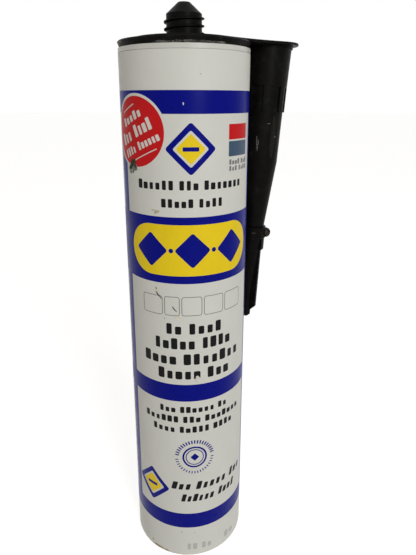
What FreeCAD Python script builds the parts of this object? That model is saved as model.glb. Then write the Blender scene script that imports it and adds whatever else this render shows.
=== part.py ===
import FreeCAD, Part
import math
import os

# Caulk tube: a sealant cartridge that stands on its open foot, in millimetres.
# The origin is the middle of the open foot, +Z runs up the barrel to the threaded neck,
# and a spare nozzle hangs beside the barrel from a plate round the neck.

# Barrel
BARREL_OD = 49.5
BARREL_WALL = 1.5
BARREL_LENGTH = 217.2
FOOT_CHAMFER = 0.4
MOUTH_RELIEF = 0.3         # how far the bore is wider where the plunger is let in
MOUTH_DEPTH = 22.5         # from the foot to the end of the wider stretch
BARE_STRIP = 1.6           # unprinted strip under the head
STRIP_GROOVE = 0.22        # width and depth of the line that ends the print

# Head: rim, spigot in the barrel, neck with a thread and a sealed cone
RIM_HEIGHT = 2.5
RIM_PROUD = 0.12           # how far the rim's upper edge stands out past the barrel
RIM_TAPER = 0.9            # how far the rim draws in to its lower edge
RIM_ROUND = 0.35
SPIGOT_DEPTH = 4.0
SPIGOT_WALL = 1.4
SPIGOT_CLEARANCE = 0.02
NECK_OD = 13.3
NECK_HEIGHT = 9.7          # from the head's top to the start of the cone
NECK_BORE = 9.6
CONE_HEIGHT = 4.0
CONE_TIP_OD = 4.5
CONE_WALL = 1.3

# Thread on the neck, right-handed
THREAD_OD = 15.1
THREAD_PITCH = 2.55
THREAD_FOOT = 1.35         # width of the ridge at the neck
THREAD_CREST = 0.4         # width of the ridge at its crest
THREAD_ROOT_SINK = 0.25    # how far the ridge runs into the neck
THREAD_CLEARANCE = 0.3     # from the plate's collar to the ridge's lower end
THREAD_START_TURN = 355.0  # degrees round from +X where the ridge starts
THREAD_TURNS = 2.07

# Plunger
PLUNGER_LIFT = 0.5         # from the wider stretch to the plunger's skirt
PLUNGER_HEIGHT = 19.0
PLUNGER_WALL = 1.6
PLUNGER_FACE = 2.2
LIP_HEIGHT = 2.4
LIP_DEPTH = 0.9            # how far the lips stand out from the plunger's wall
LIP_CLEARANCE = 0.06
PLUNGER_FACE_CHAMFER = 1.6
PLUNGER_RIB = 1.4
PLUNGER_RIB_COUNT = 6
PLUNGER_HUB_OD = 9.0
PLUNGER_STOP = 0.4         # gap left between plunger and spigot at full stroke

# Sealant
CHARGE_CLEARANCE = 0.03

# Nozzle holder: a plate round the neck with a stub that the nozzle hangs from
PLATE_THICKNESS = 0.95
PLATE_LIFT = 0.05          # gap between the head and the plate
PLATE_HUB_OD = 39.4
PLATE_END_OD = 25.4
PLATE_WAIST_RADIUS = 100.0 # of the hollow sides between the two rounds
PLATE_EDGE_CHAMFER = 0.2
PLATE_COLLAR_OD = 16.6
PLATE_COLLAR_HEIGHT = 1.1
NECK_HOLE_CLEARANCE = 0.08
NOZZLE_OFFSET = 36.25      # from the barrel's axis to the nozzle's, at the mouth
NOZZLE_BEARING = 23.0      # degrees from +X to the nozzle
NOZZLE_LEAN = 3.3          # degrees that the nozzle's tip leans to the barrel
SEAT_OD = 21.0
SEAT_DROP = 1.65           # from the plate's top down to the nozzle's mouth
STUB_LENGTH = 6.0
STUB_CLEARANCE = 0.45
STUB_WALL = 1.2

# Nozzle: lengths run from the mouth towards the tip
MOUTH_OD = 20.1
NOZZLE_WALL = 1.1
GRIP_START = 14.5
GRIP_START_OD = 19.1
GRIP_LENGTH = 10.0
GRIP_END_OD = 18.65
GRIP_PANEL_DEPTH = 0.65
GRIP_RIB_COUNT = 8
GRIP_RIB_WIDTH = 2.4
SHOULDER_OD = 17.35
WAIST_AT = 44.9
WAIST_OD = 16.3
NOZZLE_LENGTH = 102.8
TIP_OD = 3.4
TIP_BORE = 1.5
SOCKET_BORE = 15.3
SOCKET_WALL = 1.0
SOCKET_DEPTH = 10.0
SOCKET_WEB = 1.2
SOCKET_RIB = 0.9
SOCKET_RIB_COUNT = 8

# Nozzle cap: lengths run from the nozzle's mouth too
CAP_START = 73.6
CAP_CLEARANCE = 0.1
COLLAR_LENGTH = 5.2
COLLAR_OD = 11.7
RIDGE_COUNT = 4
RIDGE_PROUD = 0.22
CAP_WALL = 0.6
FIN_COUNT = 4
FIN_WIDTH = 1.7
FIN_TOP_OD = 9.5
FIN_FOOT_OD = 9.0
FIN_LENGTH = 32.5          # from the collar to the fins' lower corners
FIN_BEARING = -30.0        # degrees from +X to the first fin
FIN_FOOT_CHAMFER = 2.5
LUG_LENGTH = 5.8
LUG_OD = 11.3
LUG_WIDTH = 3.2
LUG_ROUND = 0.9
NUB_OD = 4.2
NUB_LENGTH = 5.5           # from the fins' lower corners to the closed end
NUB_ROUND = 0.9
EAR_REACH = 8.1            # from the nozzle's axis to the ear's tip
EAR_DROP = 0.45            # from the collar's top to the ear's upper corner
EAR_HEIGHT = 4.2
EAR_THICKNESS = 1.5
EAR_ROUND = 2.0
EAR_BEARING = -14.0

NEAR = 1e-6                # lengths closer than this count as equal

UP = FreeCAD.Vector(0, 0, 1)
ORIGIN = FreeCAD.Vector(0, 0, 0)

barrel_r = BARREL_OD / 2
bore_r = barrel_r - BARREL_WALL
mouth_bore_r = bore_r + MOUTH_RELIEF
head_top = BARREL_LENGTH + RIM_HEIGHT
neck_r = NECK_OD / 2
plate_bottom = head_top + PLATE_LIFT
plate_top = plate_bottom + PLATE_THICKNESS
thread_start_z = plate_top + PLATE_COLLAR_HEIGHT + THREAD_CLEARANCE + THREAD_FOOT / 2
spigot_end = BARREL_LENGTH - SPIGOT_DEPTH
plunger_foot_z = MOUTH_DEPTH + PLUNGER_LIFT
plunger_face_z = plunger_foot_z + PLUNGER_HEIGHT
plunger_travel = spigot_end - PLUNGER_STOP - plunger_face_z
cap_fin_top = CAP_START + COLLAR_LENGTH
cap_fin_foot = cap_fin_top + FIN_LENGTH


def revolved(outline):
    """Turn a closed outline of (radius, height) points about the Z axis."""
    points = [FreeCAD.Vector(r, 0, z) for r, z in outline]
    wire = Part.makePolygon(points + [points[0]])
    return Part.Face(wire).revolve(ORIGIN, UP, 360)


def ring(outer, inner, bottom, top):
    return revolved([(inner, bottom), (outer, bottom), (outer, top), (inner, top)])


def disc(radius, bottom, top):
    return Part.makeCylinder(radius, top - bottom, FreeCAD.Vector(0, 0, bottom))


def bar(width, inner, outer, bottom, top, bearing):
    """A flat bar that stands out radially from the Z axis at a bearing in degrees."""
    box = Part.makeBox(outer - inner, width, top - bottom, FreeCAD.Vector(inner, -width / 2, bottom))
    box.rotate(ORIGIN, UP, bearing)
    return box


def fused(first, others):
    return first.fuse(others).removeSplitter()


def helical_ridge(root_r, crest_r, foot, crest, start_z, start_turn, turns, pitch):
    """A ridge of trapezium section swept up a right-handed helix."""
    path = Part.makeHelix(pitch, pitch * turns, root_r)
    section = Part.makePolygon([
        FreeCAD.Vector(root_r, 0, -foot / 2),
        FreeCAD.Vector(crest_r, 0, -crest / 2),
        FreeCAD.Vector(crest_r, 0, crest / 2),
        FreeCAD.Vector(root_r, 0, foot / 2),
        FreeCAD.Vector(root_r, 0, -foot / 2),
    ])
    ridge = Part.Wire(path).makePipeShell([section], True, True)
    ridge.rotate(ORIGIN, UP, start_turn)
    ridge.translate(FreeCAD.Vector(0, 0, start_z))
    return ridge


def hung(shape):
    """Put a shape made along the nozzle's own axis, mouth at Z 0 and tip below, in its place."""
    placed = shape.copy()
    # the tip swings to the barrel: the nozzle's own azimuths stay those of the barrel
    bearing = math.radians(NOZZLE_BEARING)
    across = FreeCAD.Vector(-math.sin(bearing), math.cos(bearing), 0)
    placed.rotate(ORIGIN, across, NOZZLE_LEAN)
    mouth = FreeCAD.Vector(
        NOZZLE_OFFSET * math.cos(bearing),
        NOZZLE_OFFSET * math.sin(bearing),
        plate_top - SEAT_DROP,
    )
    placed.translate(mouth)
    return placed


def make_barrel():
    strip_z = BARREL_LENGTH - BARE_STRIP
    return revolved([
        (mouth_bore_r, MOUTH_DEPTH),
        (mouth_bore_r, 0),
        (barrel_r - FOOT_CHAMFER, 0),
        (barrel_r, FOOT_CHAMFER),
        (barrel_r, strip_z - STRIP_GROOVE),
        (barrel_r - STRIP_GROOVE, strip_z),
        (barrel_r, strip_z),
        (barrel_r, BARREL_LENGTH),
        (bore_r, BARREL_LENGTH),
        (bore_r, MOUTH_DEPTH),
    ])


def make_head():
    rim_r = barrel_r + RIM_PROUD
    spigot_r = bore_r - SPIGOT_CLEARANCE
    neck_bore_r = NECK_BORE / 2
    cone_z = head_top + NECK_HEIGHT
    tip_z = cone_z + CONE_HEIGHT
    cone_slope = (neck_r - CONE_TIP_OD / 2) / CONE_HEIGHT
    hollow_tip_z = tip_z - CONE_WALL
    hollow_tip_r = CONE_TIP_OD / 2 - CONE_WALL / 2
    hollow_cone_z = hollow_tip_z - (neck_bore_r - hollow_tip_r) / cone_slope
    body = revolved([
        (0, hollow_tip_z),
        (hollow_tip_r, hollow_tip_z),
        (neck_bore_r, hollow_cone_z),
        (neck_bore_r, BARREL_LENGTH),
        (spigot_r - SPIGOT_WALL, BARREL_LENGTH),
        (spigot_r - SPIGOT_WALL, spigot_end),
        (spigot_r, spigot_end),
        (spigot_r, BARREL_LENGTH),
        (rim_r - RIM_TAPER, BARREL_LENGTH),
        (rim_r, head_top - RIM_ROUND),
        (rim_r - RIM_ROUND, head_top),
        (neck_r, head_top),
        (neck_r, cone_z),
        (CONE_TIP_OD / 2, tip_z),
        (0, tip_z),
    ])
    ridge = helical_ridge(
        neck_r - THREAD_ROOT_SINK, THREAD_OD / 2, THREAD_FOOT, THREAD_CREST,
        thread_start_z, THREAD_START_TURN, THREAD_TURNS, THREAD_PITCH,
    )
    return fused(body, [ridge])


def make_plunger():
    lip_r = bore_r - LIP_CLEARANCE
    wall_r = lip_r - LIP_DEPTH
    inner_r = wall_r - PLUNGER_WALL
    bottom = plunger_foot_z
    top = plunger_face_z
    floor = top - PLUNGER_FACE
    body = revolved([
        (0, floor),
        (inner_r, floor),
        (inner_r, bottom),
        (wall_r, bottom),
        (lip_r, bottom + LIP_HEIGHT / 2),
        (lip_r, bottom + LIP_HEIGHT),
        (wall_r, bottom + LIP_HEIGHT),
        (wall_r, top - PLUNGER_FACE_CHAMFER - LIP_HEIGHT),
        (lip_r, top - PLUNGER_FACE_CHAMFER - LIP_HEIGHT / 2),
        (lip_r, top - PLUNGER_FACE_CHAMFER),
        (lip_r - PLUNGER_FACE_CHAMFER, top),
        (0, top),
    ])
    hub_r = PLUNGER_HUB_OD / 2
    rib_depth = PLUNGER_HEIGHT / 3
    stiffeners = [disc(hub_r, floor - rib_depth, floor + PLUNGER_FACE / 2)]
    for i in range(PLUNGER_RIB_COUNT):
        stiffeners.append(bar(
            PLUNGER_RIB, hub_r / 2, inner_r + PLUNGER_WALL / 2,
            floor - rib_depth, floor + PLUNGER_FACE / 2, i * 360 / PLUNGER_RIB_COUNT,
        ))
    return fused(body, stiffeners)


def make_sealant():
    outer = bore_r - CHARGE_CLEARANCE
    in_spigot = bore_r - SPIGOT_CLEARANCE - SPIGOT_WALL - CHARGE_CLEARANCE
    in_neck = NECK_BORE / 2 - CHARGE_CLEARANCE
    return revolved([
        (0, plunger_face_z),
        (outer, plunger_face_z),
        (outer, spigot_end),
        (in_spigot, spigot_end),
        (in_spigot, BARREL_LENGTH),
        (in_neck, BARREL_LENGTH),
        (in_neck, head_top + NECK_HEIGHT / 2),
        (0, head_top + NECK_HEIGHT / 2),
    ])


def plate_outline(hub_r, end_r):
    """Two rounds of unlike size round the neck and the nozzle, joined by slightly hollow sides."""
    to_hub = hub_r + PLATE_WAIST_RADIUS
    to_end = end_r + PLATE_WAIST_RADIUS
    waist_x = (to_hub ** 2 - to_end ** 2 + NOZZLE_OFFSET ** 2) / (2 * NOZZLE_OFFSET)
    waist_y = math.sqrt(to_hub ** 2 - waist_x ** 2)
    end_centre = FreeCAD.Vector(NOZZLE_OFFSET, 0, 0)

    def side(sign):
        """Points where one hollow side leaves the hub, lies at its middle and meets the end."""
        centre = FreeCAD.Vector(waist_x, sign * waist_y, 0)
        on_hub = centre * (hub_r / to_hub)
        on_end = end_centre + (centre - end_centre) * (end_r / to_end)
        inward = (on_hub + on_end) * 0.5 - centre
        return on_hub, centre + inward * (PLATE_WAIST_RADIUS / inward.Length), on_end

    hub_left, middle_left, end_left = side(1)
    hub_right, middle_right, end_right = side(-1)
    edges = [
        Part.Arc(hub_left, FreeCAD.Vector(-hub_r, 0, 0), hub_right).toShape(),
        Part.Arc(hub_right, middle_right, end_right).toShape(),
        Part.Arc(end_right, end_centre + FreeCAD.Vector(end_r, 0, 0), end_left).toShape(),
        Part.Arc(end_left, middle_left, hub_left).toShape(),
    ]
    return Part.Face(Part.Wire(edges))


def make_nozzle_holder():
    plate = plate_outline(PLATE_HUB_OD / 2, PLATE_END_OD / 2).extrude(UP * PLATE_THICKNESS)
    rim_edges = [e for e in plate.Edges if e.BoundBox.ZLength < PLATE_THICKNESS / 2]
    plate = plate.makeChamfer(PLATE_EDGE_CHAMFER, rim_edges)
    plate.rotate(ORIGIN, UP, NOZZLE_BEARING)
    plate.translate(FreeCAD.Vector(0, 0, plate_bottom))
    collar = disc(PLATE_COLLAR_OD / 2, plate_top - PLATE_THICKNESS / 2, plate_top + PLATE_COLLAR_HEIGHT)
    stub_r = SOCKET_BORE / 2 - STUB_CLEARANCE
    # the seat reaches up into the plate far enough to meet it on its low side
    seat = hung(disc(SEAT_OD / 2, 0, SEAT_DROP))
    reach = NOZZLE_OFFSET + SEAT_OD
    below_plate = Part.makeBox(
        2 * reach, 2 * reach, plate_top - PLATE_THICKNESS / 2,
        FreeCAD.Vector(-reach, -reach, 0),
    )
    seat = seat.common(below_plate)
    stub = hung(disc(stub_r, -STUB_LENGTH, SEAT_DROP / 2))
    well = hung(disc(stub_r - STUB_WALL, -STUB_LENGTH + STUB_WALL, 2 * SEAT_DROP))
    neck_hole = disc(neck_r + NECK_HOLE_CLEARANCE, head_top, plate_top + 2 * PLATE_COLLAR_HEIGHT)
    holder = fused(plate, [collar, seat, stub])
    return holder.cut([well, neck_hole]).removeSplitter()


def nozzle_radius(length):
    """Outer radius of the nozzle's plain cone at a length from its mouth, past the waist."""
    share = (length - WAIST_AT) / (NOZZLE_LENGTH - WAIST_AT)
    return (WAIST_OD + (TIP_OD - WAIST_OD) * share) / 2


def make_nozzle():
    mouth_r = MOUTH_OD / 2
    grip_end = GRIP_START + GRIP_LENGTH
    shoulder = grip_end + GRIP_PANEL_DEPTH
    outer = [
        (mouth_r, 0),
        (GRIP_START_OD / 2, GRIP_START),
        (GRIP_START_OD / 2 - GRIP_PANEL_DEPTH, GRIP_START + GRIP_PANEL_DEPTH),
        (GRIP_END_OD / 2 - GRIP_PANEL_DEPTH, grip_end),
        (SHOULDER_OD / 2, shoulder),
        (WAIST_OD / 2, WAIST_AT),
        (TIP_OD / 2, NOZZLE_LENGTH),
    ]
    web_end = SOCKET_DEPTH + SOCKET_WEB
    inner = [
        (TIP_BORE / 2, NOZZLE_LENGTH),
        (WAIST_OD / 2 - NOZZLE_WALL, WAIST_AT),
        (SHOULDER_OD / 2 - NOZZLE_WALL, grip_end),
        (GRIP_START_OD / 2 - GRIP_PANEL_DEPTH - NOZZLE_WALL, web_end),
        (mouth_r - NOZZLE_WALL, 0),
    ]
    body = revolved([(r, -s) for r, s in outer + inner])
    socket_r = SOCKET_BORE / 2
    skirt_r = mouth_r - NOZZLE_WALL / 2
    additions = [
        ring(socket_r + SOCKET_WALL, socket_r, -web_end, 0),
        ring(GRIP_START_OD / 2 - NOZZLE_WALL / 2, socket_r, -web_end, -SOCKET_DEPTH),
    ]
    for i in range(SOCKET_RIB_COUNT):
        additions.append(bar(
            SOCKET_RIB, socket_r + SOCKET_WALL / 2, skirt_r - NOZZLE_WALL / 2,
            -web_end, -SOCKET_RIB, i * 360 / SOCKET_RIB_COUNT,
        ))
    grip = revolved([
        (GRIP_START_OD / 2 - GRIP_PANEL_DEPTH - NOZZLE_WALL / 2, -GRIP_START),
        (GRIP_START_OD / 2, -GRIP_START),
        (GRIP_END_OD / 2, -grip_end),
        (GRIP_END_OD / 2 - GRIP_PANEL_DEPTH - NOZZLE_WALL / 2, -grip_end),
    ])
    for i in range(GRIP_RIB_COUNT):
        rib = bar(GRIP_RIB_WIDTH, 0, mouth_r, -grip_end, -GRIP_START, i * 360 / GRIP_RIB_COUNT)
        additions.append(grip.common(rib))
    return hung(fused(body, additions))


def make_nozzle_cap():
    collar_r = COLLAR_OD / 2
    fin_r = FIN_FOOT_OD / 2
    hollow_end = NOZZLE_LENGTH + CAP_CLEARANCE
    closed_end = cap_fin_foot + NUB_LENGTH
    nub_r = NUB_OD / 2

    def wall_r(length):
        return nozzle_radius(length) + CAP_CLEARANCE + CAP_WALL

    outer = [(collar_r, CAP_START)]
    ridge_step = COLLAR_LENGTH / RIDGE_COUNT
    for i in range(RIDGE_COUNT):
        ridge_at = CAP_START + (i + 0.5) * ridge_step
        outer.append((collar_r, ridge_at - ridge_step / 4))
        outer.append((collar_r + RIDGE_PROUD, ridge_at))
        outer.append((collar_r, ridge_at + ridge_step / 4))
    outer += [
        (collar_r, cap_fin_top),
        (wall_r(cap_fin_top), cap_fin_top),
        (nub_r, NOZZLE_LENGTH),
        (nub_r, closed_end - NUB_ROUND),
        (nub_r - NUB_ROUND, closed_end),
        (0, closed_end),
    ]
    inner = [
        (0, hollow_end),
        (nozzle_radius(NOZZLE_LENGTH) + CAP_CLEARANCE, hollow_end),
        (nozzle_radius(CAP_START) + CAP_CLEARANCE, CAP_START),
    ]
    shell = revolved([(r, -s) for r, s in outer + inner])
    hollow = revolved([(0, -hollow_end)] + [(r, -s) for r, s in inner[1:]] + [(0, -CAP_START)])
    fin_limit = revolved([
        (0, -cap_fin_top + COLLAR_LENGTH / 4),
        (FIN_TOP_OD / 2, -cap_fin_top + COLLAR_LENGTH / 4),
        (FIN_TOP_OD / 2, -cap_fin_top),
        (fin_r, -cap_fin_foot),
        (fin_r - FIN_FOOT_CHAMFER, -cap_fin_foot - FIN_FOOT_CHAMFER),
        (0, -cap_fin_foot - FIN_FOOT_CHAMFER),
    ])
    lug_end = cap_fin_top + LUG_LENGTH
    lug_limit = revolved([
        (0, -cap_fin_top + COLLAR_LENGTH / 4),
        (LUG_OD / 2, -cap_fin_top + COLLAR_LENGTH / 4),
        (LUG_OD / 2, -lug_end + LUG_ROUND),
        (LUG_OD / 2 - LUG_ROUND, -lug_end),
        (0, -lug_end),
    ])
    additions = []
    for i in range(FIN_COUNT):
        bearing = FIN_BEARING + i * 360 / FIN_COUNT
        fin = bar(FIN_WIDTH, 0, collar_r, -cap_fin_foot - FIN_FOOT_CHAMFER, -CAP_START, bearing)
        lug = bar(LUG_WIDTH, 0, collar_r, -lug_end, -CAP_START, bearing)
        lug_edges = [
            e for e in lug.Edges
            if abs(e.Vertexes[0].Z + lug_end) < NEAR and abs(e.Vertexes[1].Z + lug_end) < NEAR
            and abs(e.Length - collar_r) < NEAR
        ]
        lug = lug.makeFillet(LUG_ROUND, lug_edges)
        additions.append(fin.common(fin_limit))
        additions.append(lug.common(lug_limit))
    additions.append(make_ear())
    return hung(fused(shell, additions).cut(hollow).removeSplitter())


def tangent_point(start, centre, radius, side):
    """Where a line from start touches a circle, on its upper (side 1) or lower (side -1) edge."""
    towards = start - centre
    swing = math.acos(radius / towards.Length)
    angle = math.atan2(towards.z, towards.x) - side * swing
    return centre + FreeCAD.Vector(radius * math.cos(angle), 0, radius * math.sin(angle))


def make_ear():
    """A flat rounded wing on the collar, to pull the cap off by."""
    collar_r = COLLAR_OD / 2
    root = collar_r - CAP_WALL
    top = -CAP_START - EAR_DROP
    foot = top - EAR_HEIGHT
    centre = FreeCAD.Vector(EAR_REACH - EAR_ROUND, 0, (top + foot) / 2)
    upper = FreeCAD.Vector(collar_r, 0, top)
    lower = FreeCAD.Vector(collar_r, 0, foot)
    touch_upper = tangent_point(upper, centre, EAR_ROUND, 1)
    touch_lower = tangent_point(lower, centre, EAR_ROUND, -1)
    corners = [lower, FreeCAD.Vector(root, 0, foot), FreeCAD.Vector(root, 0, top), upper]
    edges = [Part.LineSegment(a, b).toShape() for a, b in zip(corners, corners[1:])]
    edges.append(Part.LineSegment(upper, touch_upper).toShape())
    edges.append(Part.Arc(touch_upper, centre + FreeCAD.Vector(EAR_ROUND, 0, 0), touch_lower).toShape())
    edges.append(Part.LineSegment(touch_lower, lower).toShape())
    ear = Part.Face(Part.Wire(edges)).extrude(FreeCAD.Vector(0, EAR_THICKNESS, 0))
    ear.translate(FreeCAD.Vector(0, -EAR_THICKNESS / 2, 0))
    ear.rotate(ORIGIN, UP, EAR_BEARING)
    return ear


PARTS = {
    "barrel": make_barrel,
    "head": make_head,
    "plunger": make_plunger,
    "sealant": make_sealant,
    "nozzle_holder": make_nozzle_holder,
    "nozzle": make_nozzle,
    "nozzle_cap": make_nozzle_cap,
}

os.makedirs("parts", exist_ok=True)
for name, make in PARTS.items():
    shape = make()
    solids = shape.Solids
    box = shape.BoundBox
    print(
        f"{name}: {len(solids)} solid, valid {shape.isValid()}, {shape.Volume:.1f} mm3, "
        f"z {box.ZMin:.2f} to {box.ZMax:.2f}"
    )
    shape.exportStep(f"parts/{name}.step")
print(f"plunger travel {plunger_travel:.1f} mm")
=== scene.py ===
import math
import random

import bmesh
import bpy
from mathutils import Matrix, Vector
from mathutils.geometry import tessellate_polygon


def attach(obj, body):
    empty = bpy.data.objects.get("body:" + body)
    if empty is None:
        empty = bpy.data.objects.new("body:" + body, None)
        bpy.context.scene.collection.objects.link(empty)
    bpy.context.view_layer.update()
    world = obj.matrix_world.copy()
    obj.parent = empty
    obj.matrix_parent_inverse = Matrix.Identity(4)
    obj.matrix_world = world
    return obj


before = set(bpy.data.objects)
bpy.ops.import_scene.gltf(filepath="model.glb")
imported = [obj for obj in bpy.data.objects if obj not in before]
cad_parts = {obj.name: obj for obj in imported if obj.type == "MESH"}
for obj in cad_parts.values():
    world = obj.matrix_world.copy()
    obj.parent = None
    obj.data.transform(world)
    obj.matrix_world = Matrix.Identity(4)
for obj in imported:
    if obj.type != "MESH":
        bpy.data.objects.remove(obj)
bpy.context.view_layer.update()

# Looks for the caulk tube. Lengths here are in millimetres until a mesh is made.
MM = 0.001
BARREL_R = 24.75
STEP = math.radians(2)                 # the print's facets turn by this much round the barrel
# Height of each layer over the surface that carries it
LAYERS = {
    "sleeve": 0.015, "blue": 0.035, "upper": 0.052, "top": 0.068,
    "marks": 0.083, "dirt": 0.097, "crust": 0.110,
}
RIM_FILM = 0.012

# Heights of the printed bands, foot of the barrel at 0
BANDS = ((202.4, 194.6), (158.4, 132.6), (89.1, 81.3), (23.95, 16.15))
PRINT_TOP = 215.35
PRINT_FOOT = 0.5
FRONT = 2.35                           # arc from the frame's -Y to the middle of the printed front
PANEL = (-26.55, 31.9)                 # the printed front's sides, where the upright stripes begin
STRIPE = 5.2                           # width of an upright stripe

# The head's tapered rim, the plate's collar, the nozzle and its cap, as the solids have them
RIM_FOOT, RIM_FOOT_R = 217.2, 23.97
RIM_TOP, RIM_TOP_R = 219.35, 24.87
COLLAR_R, COLLAR_FOOT = 8.3, 220.7
BEARING = math.radians(23)
LEAN = Matrix.Rotation(math.radians(3.3), 3, (-math.sin(BEARING), math.cos(BEARING), 0))
MOUTH = Vector((36.25 * math.cos(BEARING), 36.25 * math.sin(BEARING), 219.05))
SHOULDER_AT, SHOULDER_R = 24.5, 8.675
WAIST_AT, WAIST_R = 44.9, 8.15
CAP_COLLAR_R = 6.07
EAR_TURN = Matrix.Rotation(math.radians(-14), 3, "Z")
EAR_HALF = 0.75


# Materials

def plain(name, colour, roughness, specular=0.3):
    m = bpy.data.materials.new(name)
    m.use_nodes = True
    shader = m.node_tree.nodes["Principled BSDF"]
    shader.inputs["Base Color"].default_value = (*colour, 1)
    shader.inputs["Roughness"].default_value = roughness
    shader.inputs["Specular IOR Level"].default_value = specular
    return m, m.node_tree, shader


def noise(tree, coord, scale, detail=4.0, rough=0.55, stretch=None):
    """A noise texture in the object's own metres; stretch squeezes it along an axis."""
    n = tree.nodes.new("ShaderNodeTexNoise")
    n.inputs["Scale"].default_value = scale
    n.inputs["Detail"].default_value = detail
    n.inputs["Roughness"].default_value = rough
    source = coord.outputs["Object"]
    if stretch:
        mapping = tree.nodes.new("ShaderNodeMapping")
        mapping.inputs["Scale"].default_value = stretch
        tree.links.new(source, mapping.inputs["Vector"])
        source = mapping.outputs["Vector"]
    tree.links.new(source, n.inputs["Vector"])
    return n.outputs["Fac"]


def ramp(tree, value, stops):
    r = tree.nodes.new("ShaderNodeValToRGB")
    while len(r.color_ramp.elements) < len(stops):
        r.color_ramp.elements.new(0.5)
    for element, (at, colour) in zip(r.color_ramp.elements, stops):
        element.position = at
        element.color = (*colour, 1)
    tree.links.new(value, r.inputs["Fac"])
    return r.outputs["Color"]


def spread(tree, value, low, high):
    m = tree.nodes.new("ShaderNodeMapRange")
    m.inputs["From Min"].default_value = 0.25
    m.inputs["From Max"].default_value = 0.75
    m.inputs["To Min"].default_value = low
    m.inputs["To Max"].default_value = high
    tree.links.new(value, m.inputs["Value"])
    return m.outputs["Result"]


def bumped(tree, shader, value, strength, distance):
    b = tree.nodes.new("ShaderNodeBump")
    b.inputs["Strength"].default_value = strength
    b.inputs["Distance"].default_value = distance * MM
    tree.links.new(value, b.inputs["Height"])
    tree.links.new(b.outputs["Normal"], shader.inputs["Normal"])


def ink(name, colour, roughness=0.34, specular=0.2, vary=0.05):
    """Printed colour: slightly uneven ink with a faint orange-peel and uneven gloss."""
    m, tree, shader = plain(name, colour, roughness, specular)
    coord = tree.nodes.new("ShaderNodeTexCoord")
    uneven = noise(tree, coord, 90, 5, 0.6, (1, 1, 0.6))
    darker = tuple(c * (1 - vary) for c in colour)
    lighter = tuple(min(1, c * (1 + vary)) for c in colour)
    tree.links.new(ramp(tree, uneven, [(0.3, darker), (0.7, lighter)]), shader.inputs["Base Color"])
    gloss = spread(tree, noise(tree, coord, 160, 3), roughness - 0.05, roughness + 0.07)
    tree.links.new(gloss, shader.inputs["Roughness"])
    bumped(tree, shader, noise(tree, coord, 1400, 2), 0.10, 0.02)
    return m


def moulded_black(name, dust, gloss):
    """Black moulded plastic with fine grain, rubbed gloss and thin grey dust in patches."""
    colour = (0.0036, 0.0032, 0.0029)
    m, tree, shader = plain(name, colour, 0.36, gloss)
    coord = tree.nodes.new("ShaderNodeTexCoord")
    patches = noise(tree, coord, 260, 6, 0.68)
    dusty = tuple(c + dust for c in colour)
    half = tuple(c + dust * 0.18 for c in colour)
    shade = ramp(tree, patches, [(0.44, colour), (0.60, half), (0.74, dusty)])
    tree.links.new(shade, shader.inputs["Base Color"])
    tree.links.new(spread(tree, noise(tree, coord, 420, 3), 0.30, 0.48), shader.inputs["Roughness"])
    bumped(tree, shader, noise(tree, coord, 2600, 3, 0.6), 0.22, 0.03)
    return m


def natural(name, light, dark, roughness, specular=0.35):
    """Undyed plastic: milky, uneven, a little scuffed."""
    m, tree, shader = plain(name, light, roughness, specular)
    coord = tree.nodes.new("ShaderNodeTexCoord")
    clouds = noise(tree, coord, 70, 6, 0.62, (1, 1, 0.35))
    tree.links.new(ramp(tree, clouds, [(0.32, dark), (0.62, light)]), shader.inputs["Base Color"])
    gloss = spread(tree, noise(tree, coord, 500, 3), roughness - 0.06, roughness + 0.1)
    tree.links.new(gloss, shader.inputs["Roughness"])
    bumped(tree, shader, noise(tree, coord, 1800, 3), 0.15, 0.03)
    return m


def paste(name):
    """Soft black sealant: wet-looking and slightly lumpy."""
    m, tree, shader = plain(name, (0.012, 0.012, 0.012), 0.28, 0.4)
    coord = tree.nodes.new("ShaderNodeTexCoord")
    shade = ramp(tree, noise(tree, coord, 200, 3), [(0.3, (0.008, 0.008, 0.008)), (0.7, (0.018, 0.018, 0.017))])
    tree.links.new(shade, shader.inputs["Base Color"])
    tree.links.new(spread(tree, noise(tree, coord, 140, 2), 0.2, 0.38), shader.inputs["Roughness"])
    bumped(tree, shader, noise(tree, coord, 220, 2), 0.4, 0.3)
    return m


def grime(name, dark, light, scale=900):
    """Dried dirt: rough, blotched between two colours."""
    m, tree, shader = plain(name, light, 0.8, 0.1)
    coord = tree.nodes.new("ShaderNodeTexCoord")
    shade = ramp(tree, noise(tree, coord, scale, 5, 0.7), [(0.38, dark), (0.62, light)])
    tree.links.new(shade, shader.inputs["Base Color"])
    tree.links.new(spread(tree, noise(tree, coord, scale, 2), 0.6, 0.95), shader.inputs["Roughness"])
    bumped(tree, shader, noise(tree, coord, 2 * scale, 3), 0.5, 0.06)
    return m


WHITE = ink("print_white", (0.715, 0.712, 0.662), 0.42, 0.12, 0.025)
BLUE = ink("print_blue", (0.0018, 0.0045, 0.225), 0.30, 0.06)
RED = ink("print_red", (0.600, 0.0125, 0.0150), 0.34, 0.06, 0.06)
YELLOW = ink("print_yellow", (0.900, 0.655, 0.017), 0.34, 0.08)
INK = ink("print_black", (0.0065, 0.0065, 0.0075), 0.34, 0.08)
SLATE = ink("print_slate", (0.045, 0.085, 0.145), 0.34, 0.18)
GREY = ink("print_grey", (0.20, 0.20, 0.205), 0.36, 0.2)
FAINT = ink("print_faint", (0.50, 0.50, 0.475), 0.36, 0.2)
BARE = natural("bare_plastic", (0.66, 0.655, 0.61), (0.60, 0.595, 0.55), 0.34)
PLUNGER = natural("milky_plastic", (0.74, 0.73, 0.68), (0.66, 0.65, 0.59), 0.42)
HEAD = moulded_black("black_head", 0.022, 0.035)
PLATE = moulded_black("black_plate", 0.025, 0.035)
NOZZLE = moulded_black("black_nozzle", 0.010, 0.035)
PASTE = paste("black_paste")

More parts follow.
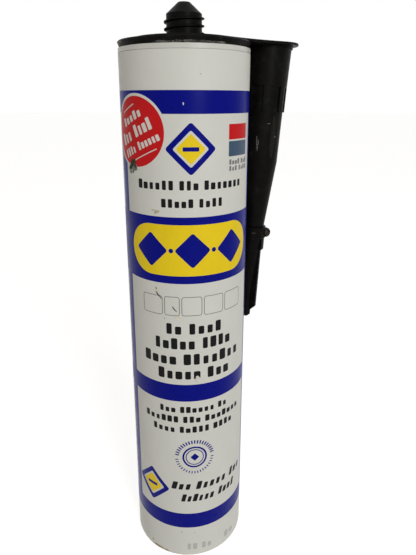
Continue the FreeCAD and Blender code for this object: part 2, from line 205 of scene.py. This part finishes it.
for node, material in (
    ("barrel", BARE), ("head", HEAD), ("plunger", PLUNGER), ("sealant", PASTE),
    ("nozzle_holder", PLATE), ("nozzle", NOZZLE), ("nozzle_cap", NOZZLE),
):
    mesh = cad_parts[node].data
    mesh.materials.clear()
    mesh.materials.append(material)


# Print on the barrel: flat outlines of (arc, height), cut into facets and laid round it

def on_barrel(a, z, layer):
    turn = a / BARREL_R
    out = Vector((math.sin(turn), -math.cos(turn), 0))
    return out * (BARREL_R + layer) + Vector((0, 0, z)), out


def wrapped(name, bm, layer, material, lay=on_barrel, slot="white_plastic", body="cartridge"):
    """Lay a flat mesh of (arc, height) round the barrel, or on another surface, as one piece."""
    normals = []
    for v in bm.verts:
        place, out = lay(v.co.x, v.co.y, layer)
        v.co = place * MM
        normals.append(out)
    mesh = bpy.data.meshes.new(name)
    bm.to_mesh(mesh)
    bm.free()
    mesh.polygons.foreach_set("use_smooth", [True] * len(mesh.polygons))
    mesh.normals_split_custom_set_from_vertices(normals)
    mesh.materials.append(material)
    piece = bpy.data.objects.new(name, mesh)
    bpy.context.scene.collection.objects.link(piece)
    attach(piece, body)
    return piece


def filled(bm, loops):
    """Fill an outline, with its holes after it, and turn the faces outwards."""
    flat = [[Vector((a, z, 0)) for a, z in loop] for loop in loops]
    points = [bm.verts.new(p) for loop in flat for p in loop]
    for tri in tessellate_polygon(flat):
        corners = [points[i] for i in tri]
        a, b, c = (v.co for v in corners)
        area = (b - a).cross(c - a).z
        if abs(area) < 1e-9:
            continue
        bm.faces.new(corners if area > 0 else corners[::-1])


def printed(name, shapes, layer, material, **place):
    """One printed piece from several flat shapes, each a list of loops."""
    bm = bmesh.new()
    for loops in shapes:
        filled(bm, loops)
    low = min(v.co.x for v in bm.verts)
    high = max(v.co.x for v in bm.verts)
    width = BARREL_R * STEP
    for i in range(math.ceil(low / width), math.floor(high / width) + 1):
        bmesh.ops.bisect_plane(
            bm, geom=bm.verts[:] + bm.edges[:] + bm.faces[:], dist=1e-5,
            plane_co=(i * width, 0, 0), plane_no=(1, 0, 0),
        )
    return wrapped(name, bm, LAYERS[layer], material, **place)


def belt_on(bm, radius, low, high):
    """A strip all round a surface of that radius, from one height to another."""
    count = round(2 * math.pi / STEP)
    width = radius * STEP
    lower = [bm.verts.new((i * width, low, 0)) for i in range(count)]
    upper = [bm.verts.new((i * width, high, 0)) for i in range(count)]
    for i in range(count):
        j = (i + 1) % count
        bm.faces.new((lower[i], lower[j], upper[j], upper[i]))


def belt(bm, low, high):
    belt_on(bm, BARREL_R, low, high)


def arc(cx, cz, r, start, end, n):
    angles = [math.radians(start + (end - start) * i / n) for i in range(n + 1)]
    return [(cx + r * math.cos(t), cz + r * math.sin(t)) for t in angles]


def disc(cx, cz, r, n=72):
    return arc(cx, cz, r, 0, 360, n)[:-1]


def rounded(a0, z0, a1, z1, r, n=4):
    """A rectangle with round corners."""
    r = min(r, (a1 - a0) / 2 - 1e-4, (z1 - z0) / 2 - 1e-4)
    corners = ((a1 - r, z0 + r, -90), (a1 - r, z1 - r, 0), (a0 + r, z1 - r, 90), (a0 + r, z0 + r, 180))
    out = []
    for cx, cz, start in corners:
        out += arc(cx, cz, r, start, start + 90, n)
    return out


def diamond(cx, cz, half, r=0.8):
    """A square on its corner, with slightly round corners."""
    side = half / math.sqrt(2)
    turn = math.radians(45)
    return [
        (cx + x * math.cos(turn) - z * math.sin(turn), cz + x * math.sin(turn) + z * math.cos(turn))
        for x, z in rounded(-side, -side, side, side, r)
    ]


def leaned(loop, lean, z0):
    return [(a + (z - z0) * lean, z) for a, z in loop]


def turned(loop, cx, cz, degrees):
    c, s = math.cos(math.radians(degrees)), math.sin(math.radians(degrees))
    return [(cx + (a - cx) * c - (z - cz) * s, cz + (a - cx) * s + (z - cz) * c) for a, z in loop]


BLOCK_WIDTH = 0.66                     # of the room that a block has
SHORT_BLOCK = 0.74                     # of the row's height
TALL_ODDS = 0.28                       # for a block after a word's first
WORD_SPACE = 0.42                      # of the row's height


def blocks(rng, a0, a1, z0, z1, words, lean=0.0):
    """A row of plain blocks that stands for a printed line: no letters, only its length and weight."""
    high = z1 - z0
    space = high * WORD_SPACE
    pitch = ((a1 - a0) - space * (len(words) - 1)) / sum(words)
    shapes = []
    at = a0
    for word in words:
        for i in range(word):
            wide = pitch * BLOCK_WIDTH * rng.uniform(0.82, 1.18)
            tall = high if i == 0 or rng.random() < TALL_ODDS else high * SHORT_BLOCK
            left = at + (pitch - wide) / 2
            shapes.append([leaned(rounded(left, z0, left + wide, z0 + tall, wide * 0.2, 2), lean, z0)])
            at += pitch
        at += space
    return shapes


def make_sleeve():
    bm = bmesh.new()
    belt(bm, PRINT_FOOT, PRINT_TOP)
    wrapped("print_sleeve", bm, LAYERS["sleeve"], WHITE)


def make_bands():
    bm = bmesh.new()
    for top, bottom in BANDS:
        belt(bm, bottom, top)
    wrapped("print_bands", bm, LAYERS["blue"], BLUE)
    inner_left, inner_right = PANEL
    printed("print_stripes", [
        [rounded(a, low, a + STRIPE, high, 0.01, 1)]
        for a in (inner_left - STRIPE, inner_right)
        for (_, high), (low, _) in zip(BANDS, BANDS[1:])
    ], "blue", BLUE)


def make_round_mark():
    """Red disc with a pale ring over the first band; plain slanted blocks stand for its words."""
    cx, cz, lean = -19.8, 188.2, 24
    printed("print_ring", [[disc(cx, cz, 13.3)]], "upper", WHITE)
    printed("print_red_disc", [[disc(cx, cz, 12.35)]], "top", RED)
    rng = random.Random(11)
    rows = blocks(rng, cx - 6.0, cx + 5.6, cz + 3.9, cz + 7.0, [5])
    rows += blocks(rng, cx - 9.6, cx + 8.2, cz - 1.9, cz + 2.5, [3, 4])
    rows += blocks(rng, cx - 9.4, cx + 9.2, cz - 6.6, cz - 3.6, [4, 6])
    rows.append([rounded(cx - 4.6, cz + 8.9, cx + 3.4, cz + 9.25, 0.1, 2)])
    rows.append([rounded(cx - 5.6, cz - 9.0, cx + 6.4, cz - 8.65, 0.1, 2)])
    slanted = [[turned(loop, cx, cz, lean) for loop in shape] for shape in rows]
    printed("print_disc_rows", slanted, "marks", WHITE)


def make_diamond_mark(name, cx, cz, half, bar):
    """A blue square on its corner round a yellow one: a plain mark in the place of a maker's."""
    outer, hole = diamond(cx, cz, half, 1.0), diamond(cx, cz, half * 0.70, 0.6)
    printed(name + "_frame", [[outer, hole[::-1]]], "blue", BLUE)
    printed(name + "_core", [[diamond(cx, cz, half * 0.58, 0.6)]], "upper", YELLOW)
    high = bar * 0.26
    printed(name + "_bar", [[rounded(cx - bar, cz - high, cx + bar, cz + high, 0.25)]], "top", BLUE)


def make_square_mark():
    """A red square over a slate one, with two faint rows under them."""
    printed("print_square_red", [[rounded(16.8, 185.6, 28.3, 191.0, 0.25)]], "upper", RED)
    printed("print_square_slate", [[rounded(16.8, 179.6, 28.3, 185.0, 0.25)]], "upper", SLATE)
    rng = random.Random(5)
    rows = blocks(rng, 16.9, 28.6, 176.6, 178.5, [4, 3]) + blocks(rng, 16.9, 28.6, 174.3, 176.1, [3, 4])
    printed("print_square_rows", rows, "upper", GREY)


def make_wide_mark():
    """A yellow capsule on the second band, with three navy diamonds and two dots."""
    cx, cz, half, r = 2.3, 145.6, 26.3, 9.9
    capsule = arc(cx + half - r, cz, r, -90, 90, 36) + arc(cx - half + r, cz, r, 90, 270, 36)
    printed("print_capsule", [[capsule]], "upper", YELLOW)
    shapes = [[diamond(a, cz, 6.9, 0.9)] for a in (cx - 16.4, cx, cx + 16.4)]
    shapes += [[disc(a, cz, 0.9, 24)] for a in (cx - 8.2, cx + 8.2)]
    printed("print_capsule_diamonds", shapes, "top", BLUE)


def make_outlined_row():
    """Five hollow boxes in a hairline, in the place of the outlined word."""
    line = 0.26
    shapes = []
    for a0, a1 in ((-18.7, -9.7), (-9.0, -2.9), (-2.2, 5.8), (6.5, 14.9), (15.6, 24.6)):
        outer = rounded(a0, 119.4, a1, 127.3, 1.0)
        inner = rounded(a0 + line, 119.4 + line, a1 - line, 127.3 - line, 1.0 - line)
        shapes.append([outer, inner[::-1]])
    printed("print_outlined_row", shapes, "upper", GREY)


def make_rows():
    """Bold rows on the front: blocks with the length and weight of printed lines."""
    rng = random.Random(23)
    rows = []
    for a0, a1, z0, z1, words in (
        (-19.4, 24.0, 168.3, 171.7, [6, 3, 7]),
        (-9.6, 14.3, 161.9, 165.1, [5, 4]),
        (-9.1, 14.5, 111.5, 116.1, [2, 4]),
        (-14.0, 19.2, 105.0, 109.8, [5, 4]),
        (-19.3, 24.4, 98.1, 102.9, [4, 7]),
        (-12.9, 18.6, 91.6, 96.4, [5, 3]),
        (-12.6, 17.6, 75.9, 78.8, [3, 6, 2]),
        (-20.0, 25.4, 71.1, 74.1, [6, 3, 7]),
        (-16.1, 21.1, 66.2, 69.2, [4, 5, 4]),
    ):
        rows += blocks(rng, a0, a1, z0, z1, words)
    rows += blocks(rng, -8.4, 28.2, 37.0, 41.0, [3, 5, 3], 0.25)
    rows += blocks(rng, -4.1, 23.0, 30.6, 34.5, [6, 4], 0.25)
    printed("print_rows", rows, "blue", INK)
    stamp = blocks(rng, -1.6, 10.4, 3.6, 7.0, [2, 2]) + blocks(rng, 16.8, 23.6, 3.6, 7.0, [2])
    printed("print_stamp", stamp, "blue", FAINT)


def make_round_seal():
    """A ring of short ticks round two plain rings."""
    cx, cz = 2.5, 53.9
    shapes = []
    for i in range(40):
        angle = i * 9
        if angle in (0, 180):
            continue
        long = 1.7 if angle < 180 else 1.3
        wide = 0.30 if angle < 180 else 0.22
        tick = rounded(cx + 8.5 - long, cz - wide, cx + 8.5, cz + wide, 0.1, 2)
        shapes.append([turned(tick, cx, cz, angle)])
    shapes.append([disc(cx, cz, 5.3), disc(cx, cz, 4.5)[::-1]])
    shapes.append([disc(cx, cz, 3.9), disc(cx, cz, 3.5)[::-1]])
    shapes.append([diamond(cx, cz, 1.9, 0.3)])
    printed("print_round_seal", shapes, "blue", BLUE)


def make_back():
    """The unseen back: small plain rows of instructions between the bands, a guess."""
    rng = random.Random(41)
    rows = []
    middle = FRONT + math.pi * BARREL_R
    half = 30.0
    for top, count, pitch in ((190.0, 9, 3.1), (128.5, 11, 3.2), (77.0, 15, 3.2)):
        for i in range(count):
            z1 = top - i * pitch
            reach = half if rng.random() < 0.75 else half * rng.uniform(-0.2, 0.7)
            words = [rng.randint(2, 8) for _ in range(round((reach + half) / 6.5) + 1)]
            rows += blocks(rng, middle - half, middle + reach, z1 - 1.3, z1, words)
    printed("print_back_rows", rows, "blue", GREY)
    printed("print_back_mark", [[diamond(middle, 145.6, 9.4, 1.0)]], "upper", YELLOW)
    printed("print_back_mark_core", [[diamond(middle, 145.6, 6.2, 0.7)]], "top", BLUE)


# Wear and dirt, where the photograph shows it

def blot(cx, cz, rx, rz, seed, turn=0.0, rough=0.25, n=40):
    """The uneven outline of a stain."""
    rng = random.Random(seed)
    waves = [
        (k, rng.uniform(0, 6.28), rough * rng.uniform(0.4, 1) / math.sqrt(k))
        for k in (2, 3, 5, 7, 11)
    ]
    loop = []
    for i in range(n):
        t = 2 * math.pi * i / n
        r = 1 + sum(a * math.sin(k * t + p) for k, p, a in waves)
        loop.append((cx + rx * r * math.cos(t), cz + rz * r * math.sin(t)))
    return turned(loop, cx, cz, turn)


def scratch(points, width):
    """A tapered mark along a few points."""
    left, right = [], []
    last = len(points) - 1
    for i, (a, z) in enumerate(points):
        before, after = points[max(i - 1, 0)], points[min(i + 1, last)]
        dx, dz = after[0] - before[0], after[1] - before[1]
        length = math.hypot(dx, dz)
        w = width * (0.25 + 0.75 * math.sin(math.pi * (i + 0.5) / len(points))) / 2
        left.append((a - dz / length * w, z + dx / length * w))
        right.append((a + dz / length * w, z - dx / length * w))
    return left + right[::-1]


def make_dirt():
    scuff_grey = grime("dirt_scuff", (0.10, 0.10, 0.095), (0.42, 0.41, 0.38))
    scuff_dark = grime("dirt_dark", (0.010, 0.012, 0.007), (0.075, 0.080, 0.050))
    brown = grime("dirt_brown", (0.36, 0.26, 0.14), (0.62, 0.56, 0.42))
    cream = grime("dirt_cream", (0.66, 0.58, 0.42), (0.78, 0.74, 0.62))
    rust = grime("dirt_rust", (0.30, 0.17, 0.085), (0.56, 0.47, 0.34))
    faint = grime("dirt_faint", (0.63, 0.61, 0.50), (0.70, 0.69, 0.62))
    pale = grime("dirt_pale", (0.50, 0.52, 0.60), (0.70, 0.71, 0.74))
    printed("dirt_disc_scuff", [[blot(-22.3, 175.2, 2.4, 2.0, 3, 20)]], "dirt", scuff_grey)
    printed("dirt_disc_dark", [
        [blot(-21.9, 177.3, 1.5, 1.3, 4, 30, 0.4)], [blot(-23.4, 175.6, 1.3, 0.9, 9, 60, 0.4)],
        [blot(-20.6, 176.0, 0.7, 0.6, 12, 0, 0.4)],
    ], "crust", scuff_dark)
    printed("dirt_brown_stain", [
        [blot(-11.1, 160.1, 1.3, 0.45, 6, 20)], [blot(-12.6, 160.6, 0.7, 0.25, 8)],
    ], "dirt", brown)
    printed("dirt_curl", [
        [scratch([
            (-12.5, 130.6), (-12.1, 129.7), (-12.3, 128.6), (-11.6, 127.6), (-10.7, 126.8), (-10.2, 125.9),
        ], 0.5)],
        [scratch([(-5.7, 123.3), (-5.4, 122.6), (-4.8, 121.9), (-4.1, 121.2)], 0.45)],
    ], "dirt", scuff_dark)
    printed("dirt_cream_bits", [
        [blot(-11.9, 129.2, 0.55, 0.7, 14, 10)], [blot(-3.9, 118.7, 0.85, 0.7, 15)],
    ], "crust", cream)
    printed("dirt_yellow_stain", [
        [blot(3.9, 92.2, 0.8, 0.9, 16)], [blot(3.3, 90.6, 0.35, 0.5, 17)],
    ], "crust", faint)
    printed("dirt_rust_foot", [
        [blot(-15.4, 1.35, 2.6, 0.5, 18, 0, 0.3)], [blot(-10.9, 1.2, 1.2, 0.35, 19, 0, 0.3)],
        [blot(-18.7, 3.2, 0.45, 0.5, 20, 0, 0.4)],
    ], "dirt", rust)
    printed("dirt_specks", [
        [blot(-22.2, 4.4, 0.25, 0.3, 21)], [blot(-3.6, 13.5, 0.25, 0.2, 22)],
        [blot(2.2, 13.4, 0.2, 0.2, 24)],
        [blot(5.4, 207.5, 0.2, 0.15, 25)], [blot(-9.0, 118.0, 0.2, 0.25, 26)],
    ], "dirt", scuff_grey)
    printed("dirt_band_specks", [[blot(-0.6, 198.0, 0.28, 0.42, 27)]], "dirt", pale)


# Painted highlights, and real dust and wear, on the black parts
def on_rim(a, z, layer):
    """On the head's tapered rim: arc as on the barrel, height from the foot."""
    share = (z - RIM_FOOT) / (RIM_TOP - RIM_FOOT)
    turn = a / BARREL_R
    out = Vector((math.sin(turn), -math.cos(turn), -0.42)).normalized()
    flat = Vector((math.sin(turn), -math.cos(turn), 0))
    return flat * (RIM_FOOT_R + (RIM_TOP_R - RIM_FOOT_R) * share) + Vector((0, 0, z)) + out * layer, out


def on_collar(a, z, layer):
    turn = a / COLLAR_R
    out = Vector((math.sin(turn), -math.cos(turn), 0))
    return out * (COLLAR_R + layer) + Vector((0, 0, z)), out


def on_plate(a, z, layer):
    """Flat on the plate: sideways and away from the camera's side."""
    return Vector((a, z, COLLAR_FOOT + layer)), Vector((0, 0, 1))


def on_nozzle(a, z, layer):
    """On the nozzle's taper: arc from the front, height under the mouth as a negative length."""
    turn = a / SHOULDER_R
    out = Vector((math.sin(turn), -math.cos(turn), 0))
    r = SHOULDER_R + (WAIST_R - SHOULDER_R) * (-z - SHOULDER_AT) / (WAIST_AT - SHOULDER_AT)
    return MOUTH + LEAN @ (out * (r + layer) + Vector((0, 0, z))), LEAN @ out


def on_cap(a, z, layer):
    turn = a / CAP_COLLAR_R
    out = Vector((math.sin(turn), -math.cos(turn), 0))
    return MOUTH + LEAN @ (out * (CAP_COLLAR_R + layer) + Vector((0, 0, z))), LEAN @ out


def on_ear(a, z, layer):
    out = EAR_TURN @ Vector((0, -1, 0))
    flat = EAR_TURN @ Vector((a, 0, z))
    return MOUTH + LEAN @ (flat + out * (EAR_HALF + layer)), LEAN @ out


def make_nozzle_wear_and_highlights():
    """Painted highlights on the hanging nozzle, a painted glint on its cap, and tan wear on the cap's ear."""
    # rubbed is a light grey that stands for painted highlight on the nozzle and a painted glint on the cap, not
    # for rubbing
    rubbed = grime("painted_highlight_grey", (0.035, 0.034, 0.032), (0.17, 0.165, 0.155), 800)
    tan = grime("wear_tan", (0.030, 0.023, 0.016), (0.085, 0.068, 0.050), 700)
    # A lighter black that stands for a painted sheen, not for a film of dirt
    painted_sheen = grime("painted_sheen_band", (0.006, 0.0058, 0.0048), (0.016, 0.015, 0.011), 260)
    place = {"lay": on_nozzle, "slot": "black_plastic", "body": "nozzle"}
    # Painted highlight: a thin light streak and two small light spots on the nozzle's taper
    printed("painted_highlight_nozzle_streak", [
        [scratch([(-2.55, -34.4), (-2.45, -36.0), (-2.2, -37.6), (-2.0, -39.0), (-1.95, -40.2)], 0.62)],
        [scratch([(-1.75, -35.6), (-1.65, -36.8), (-1.6, -37.8)], 0.3)],
        [blot(5.85, -34.4, 0.42, 0.34, 51, 20, 0.3, 20)],
        [blot(2.1, -29.2, 0.9, 0.14, 52, 0, 0.3, 24)],
    ], "blue", rubbed, **place)
    # Painted sheen: a broad soft band of lighter black down the nozzle's taper
    printed("painted_sheen_nozzle", [
        [scratch([(4.6, -26.0), (4.5, -30.0), (4.7, -34.5), (4.6, -39.0), (4.9, -43.0)], 2.6)],
    ], "sleeve", painted_sheen, **place)
    place = {"slot": "black_plastic", "body": "cap"}
    # Painted glint: a short light line on the cap collar's ridge
    edge = scratch([(-0.95, -75.75), (-0.2, -75.72), (0.6, -75.74)], 0.3)
    printed("painted_glint_cap_edge", [[edge]], "blue", rubbed, lay=on_cap, **place)
    ear = blot(6.35, -76.1, 1.35, 1.45, 53, 0, 0.12, 28)
    printed("wear_cap_ear", [[ear]], "sleeve", tan, lay=on_ear, **place)


def make_dust_and_highlights():
    """Grey dust and painted highlight along the head's lower edge, brown dust at its side, a painted highlight
    round the plate's collar, and light grey patches on the plate.
    """
    # dust is grey dust and painted highlight at once: on the rim's front lower edge both, on the collar's front
    # only painted highlight
    dust = grime("dust_rim", (0.018, 0.017, 0.015), (0.17, 0.165, 0.15), 700)
    # film is a faint lighter film: along the rim's foot dust and painted highlight, round the collar only
    # painted highlight
    film = grime("dust_and_highlight_film", (0.008, 0.008, 0.007), (0.045, 0.043, 0.038), 500)
    brown = grime("dust_brown", (0.10, 0.085, 0.06), (0.38, 0.34, 0.27), 600)
    rng = random.Random(31)
    line, thick, side = [], [], []
    at = -25.0
    # A thin lighter line all along the rim's foot: dust and painted highlight
    while at < 24.0:
        long = rng.uniform(1.2, 3.4)
        height = rng.uniform(0.12, 0.30)
        seed = rng.randint(0, 999)
        line.append([blot(at + long / 2, RIM_FOOT + 0.22, long / 2, height, seed, 0, 0.3, 24)])
        at += long * 0.92
    # Brighter patches on the rim's front lower edge: grey dust and painted highlight
    for a, wide, tall in (
        (-7.5, 2.4, 0.38), (-2.6, 2.0, 0.42), (1.8, 2.8, 0.46),
        (6.0, 2.2, 0.40), (10.2, 2.4, 0.36), (13.6, 1.6, 0.32),
    ):
        thick.append([blot(a, RIM_FOOT + 0.50, wide, tall, rng.randint(0, 999), 0, 0.25)])
    for a, z, wide, tall in (
        (-33.0, 218.3, 2.6, 0.75), (-36.5, 218.2, 1.8, 0.8),
        (-29.0, 218.9, 1.5, 0.35), (-38.5, 217.9, 1.6, 0.5),
    ):
        side.append([blot(a, z, wide, tall, rng.randint(0, 999), 0, 0.3)])
    place = {"lay": on_rim, "slot": "black_plastic", "body": "cartridge"}
    printed("dust_and_highlight_rim_line", line, "sleeve", film, **place)
    printed("dust_and_highlight_rim_front", thick, "blue", dust, **place)
    printed("dust_rim_side", side, "blue", brown, **place)
    # Painted highlight: a faint light ring round the foot of the plate's collar and a brighter line on its
    # front
    bm = bmesh.new()
    belt_on(bm, COLLAR_R, COLLAR_FOOT + 0.02, COLLAR_FOOT + 0.30)
    place = {"slot": "black_plastic", "body": "holder"}
    wrapped("painted_highlight_collar", bm, RIM_FILM, film, on_collar, **place)
    front = blot(0.8, COLLAR_FOOT + 0.2, 5.2, 0.13, 33, 0, 0.2, 32)
    printed("painted_highlight_collar_front", [[front]], "blue", dust, lay=on_collar, **place)
    # Two light grey patches on the plate's top, right of the neck
    printed("grey_patches_plate", [
        [blot(10.2, -5.5, 1.9, 0.9, 34, 10, 0.3)], [blot(14.2, -7.5, 1.6, 0.7, 35, 20, 0.3)],
    ], "sleeve", dust, lay=on_plate, **place)


make_sleeve()
make_bands()
make_round_mark()
make_diamond_mark("print_mark", 1.9, 182.7, 9.3, 2.9)
make_square_mark()
make_wide_mark()
make_outlined_row()
make_rows()
make_round_seal()
make_diamond_mark("print_small_mark", -17.6, 36.2, 8.9, 2.7)
make_back()
make_dirt()
make_dust_and_highlights()
make_nozzle_wear_and_highlights()


# Floor, light and camera

# The floor is a disc in rings, its lengths in metres
RING_COUNT, RING_FIRST, RING_GROWTH, SPOKES = 14, 0.06, 1.45, 48
FLOOR_COLOUR = (0.86, 0.86, 0.855, 1)
FLOOR_GLOW = 0.72                      # added where the camera sees it, so that it is white
FILL_COLOUR, FILL = (1, 0.985, 0.96, 1), 0.27
BACKDROP = 1.0
IMAGE = (416, 555)                     # the photograph's width and height in pixels
FOCAL = 478.221                        # pixels
MIDDLE = (206.49, 241.768)             # where the camera's axis meets the image
EYE = Vector((0, -193.03, 199.47)) * MM
YAW, PITCH, ROLL = (math.radians(a) for a in (2.4914, 16.6132, -0.0764))


def make_floor():
    bm = bmesh.new()
    centre = bm.verts.new((0, 0, 0))
    turns = [2 * math.pi * i / SPOKES for i in range(SPOKES)]
    last = None
    for step in range(RING_COUNT):
        radius = RING_FIRST * RING_GROWTH ** step
        ring = [bm.verts.new((radius * math.cos(t), radius * math.sin(t), 0)) for t in turns]
        for i in range(SPOKES):
            j = (i + 1) % SPOKES
            if last is None:
                bm.faces.new((centre, ring[i], ring[j]))
            else:
                bm.faces.new((last[i], ring[i], ring[j], last[j]))
        last = ring
    mesh = bpy.data.meshes.new("floor")
    bm.to_mesh(mesh)
    bm.free()
    m = bpy.data.materials.new("floor_white")
    m.use_nodes = True
    tree = m.node_tree
    shader = tree.nodes["Principled BSDF"]
    shader.inputs["Base Color"].default_value = FLOOR_COLOUR
    shader.inputs["Roughness"].default_value = 0.9
    shader.inputs["Specular IOR Level"].default_value = 0.1
    glow = tree.nodes.new("ShaderNodeEmission")
    glow.inputs["Color"].default_value = (1, 1, 1, 1)
    glow.inputs["Strength"].default_value = FLOOR_GLOW
    seen = seen_by_camera(tree)
    gate = tree.nodes.new("ShaderNodeMixShader")
    dark = tree.nodes.new("ShaderNodeEmission")
    dark.inputs["Strength"].default_value = 0.0
    tree.links.new(seen, gate.inputs[0])
    tree.links.new(dark.outputs[0], gate.inputs[1])
    tree.links.new(glow.outputs[0], gate.inputs[2])
    total = tree.nodes.new("ShaderNodeAddShader")
    tree.links.new(shader.outputs[0], total.inputs[0])
    tree.links.new(gate.outputs[0], total.inputs[1])
    tree.links.new(total.outputs[0], tree.nodes["Material Output"].inputs["Surface"])
    mesh.materials.append(m)
    floor = bpy.data.objects.new("floor", mesh)
    bpy.context.scene.collection.objects.link(floor)


def seen_by_camera(tree):
    """1 for camera, glossy and transmission rays, 0 for the rays that light the scene."""
    path = tree.nodes.new("ShaderNodeLightPath")
    value = path.outputs["Is Camera Ray"]
    for name in ("Is Glossy Ray", "Is Transmission Ray"):
        most = tree.nodes.new("ShaderNodeMath")
        most.operation = "MAXIMUM"
        tree.links.new(value, most.inputs[0])
        tree.links.new(path.outputs[name], most.inputs[1])
        value = most.outputs[0]
    return value


def make_world():
    world = bpy.data.worlds.new("studio")
    bpy.context.scene.world = world
    world.use_nodes = True
    tree = world.node_tree
    fill = tree.nodes["Background"]
    fill.inputs["Color"].default_value = FILL_COLOUR
    fill.inputs["Strength"].default_value = FILL
    white = tree.nodes.new("ShaderNodeBackground")
    white.inputs["Color"].default_value = (1, 1, 1, 1)
    white.inputs["Strength"].default_value = BACKDROP
    mix = tree.nodes.new("ShaderNodeMixShader")
    tree.links.new(seen_by_camera(tree), mix.inputs[0])
    tree.links.new(fill.outputs[0], mix.inputs[1])
    tree.links.new(white.outputs[0], mix.inputs[2])
    tree.links.new(mix.outputs[0], tree.nodes["World Output"].inputs["Surface"])


def lamp(name, place, aim, size, power, colour=(1, 1, 1)):
    light = bpy.data.lights.new(name, "AREA")
    light.shape = "DISK"
    light.size = size
    light.energy = power
    light.color = colour
    holder = bpy.data.objects.new(name, light)
    holder.location = place
    holder.rotation_euler = (Vector(aim) - Vector(place)).to_track_quat("-Z", "Y").to_euler()
    bpy.context.scene.collection.objects.link(holder)


def make_camera():
    """The photograph's own viewpoint, worked out from the barrel's edges and printed bands."""
    ahead = Vector((math.sin(YAW), math.cos(YAW), 0))
    right = Vector((math.cos(YAW), -math.sin(YAW), 0))
    down = Vector((0, 0, -1))
    view = math.cos(PITCH) * ahead + math.sin(PITCH) * down
    low = math.cos(PITCH) * down - math.sin(PITCH) * ahead
    x = math.cos(ROLL) * right + math.sin(ROLL) * low
    y = math.sin(ROLL) * right - math.cos(ROLL) * low
    data = bpy.data.cameras.new("camera")
    width, height = IMAGE
    data.sensor_width = 36
    data.sensor_fit = "AUTO"
    data.lens = FOCAL * data.sensor_width / height
    data.shift_x = (width / 2 - MIDDLE[0]) / height
    data.shift_y = -(height / 2 - MIDDLE[1]) / height
    data.clip_start = 0.01
    data.clip_end = 50
    camera = bpy.data.objects.new("camera", data)
    camera.matrix_world = Matrix((
        (x.x, y.x, -view.x, EYE.x),
        (x.y, y.y, -view.y, EYE.y),
        (x.z, y.z, -view.z, EYE.z),
        (0, 0, 0, 1),
    ))
    bpy.context.scene.collection.objects.link(camera)
    bpy.context.scene.camera = camera


make_floor()
make_world()
lamp("key", (0.56, -1.25, 0.55), (0, 0, 0.11), 0.60, 8.9, (1, 1, 0.985))
lamp("side", (-0.95, -0.45, 0.45), (0, 0, 0.12), 0.8, 0.7, (1, 0.86, 0.68))
make_camera()
bpy.context.scene.view_settings.view_transform = "Standard"

bpy.context.view_layer.update()
